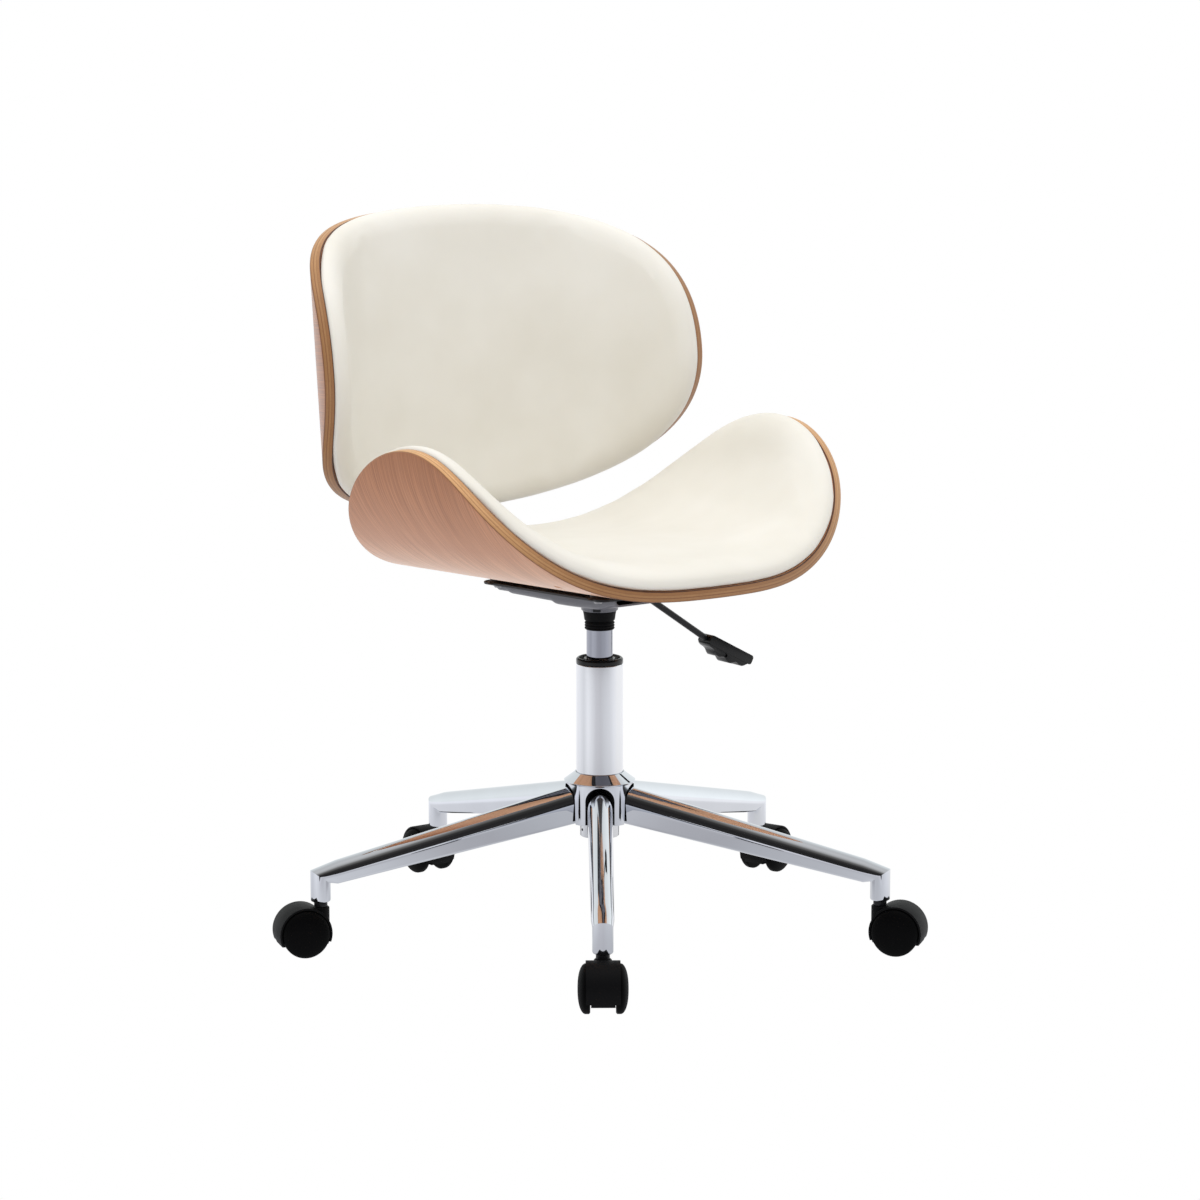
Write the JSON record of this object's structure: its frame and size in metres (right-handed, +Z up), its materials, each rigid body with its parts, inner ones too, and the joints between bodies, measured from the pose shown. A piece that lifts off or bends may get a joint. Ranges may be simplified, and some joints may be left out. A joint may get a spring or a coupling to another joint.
{
  "type": "office chair",
  "caption": "Swivel office chair with bent plywood seat and back shells, smooth cream pads, a gas lift with a side lever and a chromed star base on twin-wheel casters.",
  "frame": {"origin": "on the floor, in the middle of the footprint's box", "axes": "+Z up; the chair faces -Y, so the sitter's right hand is towards -X and the lever is towards +X"},
  "size_m": [0.687, 0.6534, 0.7614],
  "materials": {
    "chrome": "mirror-bright chrome plate",
    "satin_chrome": "bright satin chrome",
    "ground_steel": "ground, blue-grey",
    "zinc_steel": "zinc plated",
    "black_steel": "satin black",
    "grey_paint": "dark grey powder coat",
    "black_plastic": "black, fine grain",
    "plywood": "bent plywood, satin lacquer, rosy brown face veneer with light and dark plies at the edge",
    "cream_cover": "smooth cream leather-like cover"
  },
  "bodies": {
    "base": {"base_hub": "chrome", "base_arm_1": "chrome", "base_arm_2": "chrome", "base_arm_3": "chrome", "base_arm_4": "chrome", "base_arm_5": "chrome", "column_tube": "satin_chrome", "guide_bush": "black_plastic", "thrust_bearing": "zinc_steel"},
    "piston": {"piston_rod": "ground_steel", "retaining_clip": "zinc_steel"},
    "seat": {"gas_cylinder": "ground_steel", "socket_collar": "black_plastic", "mechanism_housing": "grey_paint", "mechanism_plate": "black_steel", "lever_yoke": "zinc_steel", "lever_pivot": "zinc_steel", "plate_bolt_1": "zinc_steel", "plate_bolt_2": "zinc_steel", "plate_bolt_3": "zinc_steel", "plate_bolt_4": "zinc_steel", "seat_bolt_1": "zinc_steel", "seat_bolt_2": "zinc_steel", "back_bolt_1": "zinc_steel", "back_bolt_2": "zinc_steel", "back_bolt_3": "zinc_steel", "back_bolt_4": "zinc_steel", "back_bracket": "black_steel", "seat_shell": "plywood", "seat_cushion": "cream_cover", "back_shell": "plywood", "back_cushion": "cream_cover"},
    "lever": {"lever_rod": "black_steel", "lever_paddle": "black_plastic"},
    "button": {"release_button": "zinc_steel"},
    "caster_1": {"caster_stem_1": "zinc_steel", "caster_hood_1": "black_plastic", "caster_axle_1": "zinc_steel"},
    "wheel_right_1": {"wheel_right_1": "black_plastic"},
    "wheel_left_1": {"wheel_left_1": "black_plastic"},
    "caster_2": {"caster_stem_2": "zinc_steel", "caster_hood_2": "black_plastic", "caster_axle_2": "zinc_steel"},
    "wheel_right_2": {"wheel_right_2": "black_plastic"},
    "wheel_left_2": {"wheel_left_2": "black_plastic"},
    "caster_3": {"caster_stem_3": "zinc_steel", "caster_hood_3": "black_plastic", "caster_axle_3": "zinc_steel"},
    "wheel_right_3": {"wheel_right_3": "black_plastic"},
    "wheel_left_3": {"wheel_left_3": "black_plastic"},
    "caster_4": {"caster_stem_4": "zinc_steel", "caster_hood_4": "black_plastic", "caster_axle_4": "zinc_steel"},
    "wheel_right_4": {"wheel_right_4": "black_plastic"},
    "wheel_left_4": {"wheel_left_4": "black_plastic"},
    "caster_5": {"caster_stem_5": "zinc_steel", "caster_hood_5": "black_plastic", "caster_axle_5": "zinc_steel"},
    "wheel_right_5": {"wheel_right_5": "black_plastic"},
    "wheel_left_5": {"wheel_left_5": "black_plastic"}
  },
  "joints": [
    {"name": "seat_swivel", "type": "hinge", "parent": "base", "child": "piston", "pos_m": [0, -0.03019, 0.12], "axis": [0, 0, 1], "continuous": true},
    {"name": "seat_height", "type": "slide", "parent": "piston", "child": "seat", "axis": [0, 0, 1], "range_m": [0, 0.1]},
    {"name": "lever_lift", "type": "hinge", "parent": "seat", "child": "lever", "pos_m": [0.024, -0.03019, 0.3646], "axis": [0, -1, 0], "range_deg": [0, 7]},
    {"name": "release_press", "type": "slide", "parent": "seat", "child": "button", "axis": [0, 0, -1], "range_m": [0, 0.0033], "stiffness_N_per_m": 200, "springref_m": -0.001},
    {"name": "caster_swivel_1", "type": "hinge", "parent": "base", "child": "caster_1", "pos_m": [0, 0.27741, 0.05], "axis": [0, 0, 1], "continuous": true},
    {"name": "right_spin_1", "type": "hinge", "parent": "caster_1", "child": "wheel_right_1", "pos_m": [0, 0.2974, 0.025], "axis": [1, 0, 0], "continuous": true},
    {"name": "left_spin_1", "type": "hinge", "parent": "caster_1", "child": "wheel_left_1", "pos_m": [0, 0.2974, 0.025], "axis": [1, 0, 0], "continuous": true},
    {"name": "caster_swivel_2", "type": "hinge", "parent": "base", "child": "caster_2", "pos_m": [-0.29254, 0.06486, 0.05], "axis": [0, 0, 1], "continuous": true},
    {"name": "right_spin_2", "type": "hinge", "parent": "caster_2", "child": "wheel_right_2", "pos_m": [-0.31157, 0.07104, 0.025], "axis": [0.309, 0.9511, 0], "continuous": true},
    {"name": "left_spin_2", "type": "hinge", "parent": "caster_2", "child": "wheel_left_2", "pos_m": [-0.31157, 0.07104, 0.025], "axis": [0.309, 0.9511, 0], "continuous": true},
    {"name": "caster_swivel_3", "type": "hinge", "parent": "base", "child": "caster_3", "pos_m": [-0.1808, -0.27905, 0.05], "axis": [0, 0, 1], "continuous": true},
    {"name": "right_spin_3", "type": "hinge", "parent": "caster_3", "child": "wheel_right_3", "pos_m": [-0.19256, -0.29523, 0.025], "axis": [-0.809, 0.5878, 0], "continuous": true},
    {"name": "left_spin_3", "type": "hinge", "parent": "caster_3", "child": "wheel_left_3", "pos_m": [-0.19256, -0.29523, 0.025], "axis": [-0.809, 0.5878, 0], "continuous": true},
    {"name": "caster_swivel_4", "type": "hinge", "parent": "base", "child": "caster_4", "pos_m": [0.1808, -0.27905, 0.05], "axis": [0, 0, 1], "continuous": true},
    {"name": "right_spin_4", "type": "hinge", "parent": "caster_4", "child": "wheel_right_4", "pos_m": [0.19256, -0.29523, 0.025], "axis": [-0.809, -0.5878, 0], "continuous": true},
    {"name": "left_spin_4", "type": "hinge", "parent": "caster_4", "child": "wheel_left_4", "pos_m": [0.19256, -0.29523, 0.025], "axis": [-0.809, -0.5878, 0], "continuous": true},
    {"name": "caster_swivel_5", "type": "hinge", "parent": "base", "child": "caster_5", "pos_m": [0.29254, 0.06486, 0.05], "axis": [0, 0, 1], "continuous": true},
    {"name": "right_spin_5", "type": "hinge", "parent": "caster_5", "child": "wheel_right_5", "pos_m": [0.31157, 0.07104, 0.025], "axis": [0.309, -0.9511, 0], "continuous": true},
    {"name": "left_spin_5", "type": "hinge", "parent": "caster_5", "child": "wheel_left_5", "pos_m": [0.31157, 0.07104, 0.025], "axis": [0.309, -0.9511, 0], "continuous": true}
  ],
  "couplings": [
    {"joint": "release_press", "follows": "lever_lift", "m_per_rad": 0.026}
  ]
}
